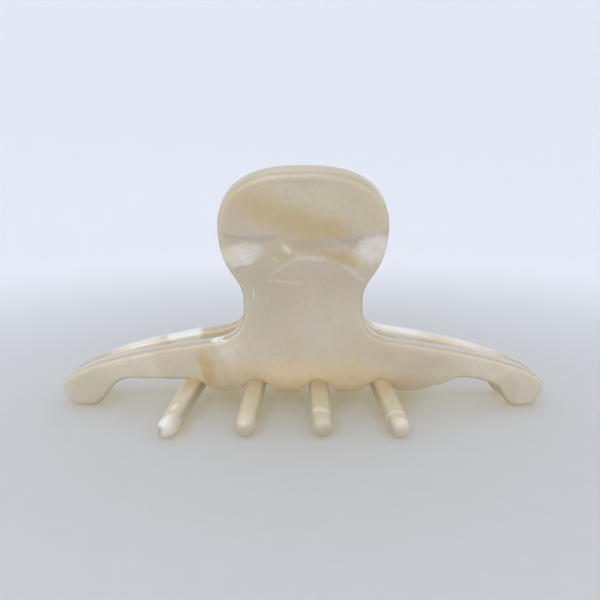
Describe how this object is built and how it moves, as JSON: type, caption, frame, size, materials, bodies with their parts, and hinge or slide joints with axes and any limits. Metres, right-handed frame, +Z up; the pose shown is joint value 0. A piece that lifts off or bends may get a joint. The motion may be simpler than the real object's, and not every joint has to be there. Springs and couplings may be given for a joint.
{
  "type": "hair claw clip",
  "caption": "Pearl acetate hair claw clip: two bent jaws with thumb paddles, arched wings and interleaved curved teeth on a sprung hinge pin.",
  "frame": {"origin": "on the resting plane under the middle of the hinge pin, midway between the two jaws", "axes": "+X along the wings, -Y towards the front jaw, +Z up through the hinge"},
  "size_m": [0.099, 0.0428, 0.0486],
  "materials": {
    "pearl_acetate": "polished cream acetate with mother-of-pearl swirls, slightly translucent",
    "lug_acetate": "cut cream acetate, semi-gloss",
    "pin_steel": "drawn steel with formed heads",
    "washer_steel": "stamped steel, lightly tumbled",
    "spring_steel": "bright spring wire"
  },
  "bodies": {
    "front": {"front_jaw": "pearl_acetate", "front_lug_right": "lug_acetate", "front_lug_left": "lug_acetate", "hinge_pin": "pin_steel", "pin_washer_right": "washer_steel", "pin_washer_left": "washer_steel", "torsion_spring": "spring_steel"},
    "rear": {"rear_jaw": "pearl_acetate", "rear_lug_left": "lug_acetate", "rear_lug_right": "lug_acetate"}
  },
  "joints": [
    {"name": "jaw_hinge", "type": "hinge", "parent": "front", "child": "rear", "pos_m": [0, 0, 0.0215], "axis": [1, 0, 0], "range_deg": [0, 48], "stiffness_Nm_per_rad": 0.15, "springref_deg": -57.3, "deforming": ["torsion_spring"]}
  ]
}
